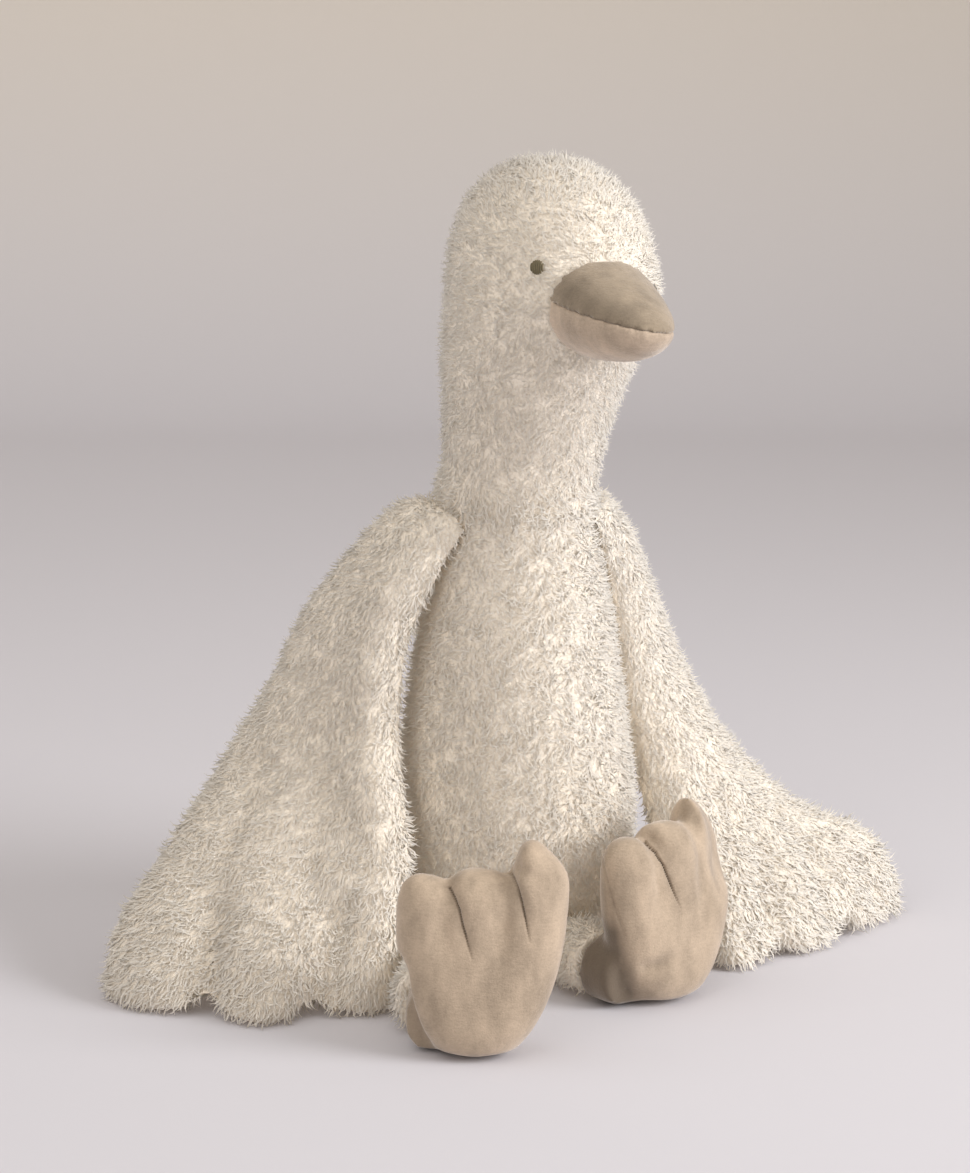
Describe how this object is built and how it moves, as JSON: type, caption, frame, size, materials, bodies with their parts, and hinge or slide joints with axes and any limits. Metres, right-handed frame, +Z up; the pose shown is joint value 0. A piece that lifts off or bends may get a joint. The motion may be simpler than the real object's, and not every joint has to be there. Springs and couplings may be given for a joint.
{
  "type": "plush duckling",
  "caption": "Sitting plush duckling in cream curly fur with draped scalloped wings, a velour beak and upright velour feet.",
  "frame": {"origin": "middle of the seat, on the floor", "axes": "+Z up, the duckling faces -Y, its right side is at -X; its spread wings reach furthest along X"},
  "size_m": [0.3381, 0.1712, 0.3165],
  "materials": {
    "cream_fur": "curly pile",
    "beige_velour": "short brushed nap",
    "eye_thread": "embroidery thread"
  },
  "bodies": {
    "root": {"torso": "cream_fur", "head_neck": "cream_fur", "beak_upper": "beige_velour", "beak_lower": "beige_velour", "eye_right": "eye_thread", "eye_left": "eye_thread", "wing_right": "cream_fur", "wing_left": "cream_fur", "leg_right": "cream_fur", "leg_left": "cream_fur", "foot_right": "beige_velour", "foot_left": "beige_velour"}
  },
  "joints": []
}
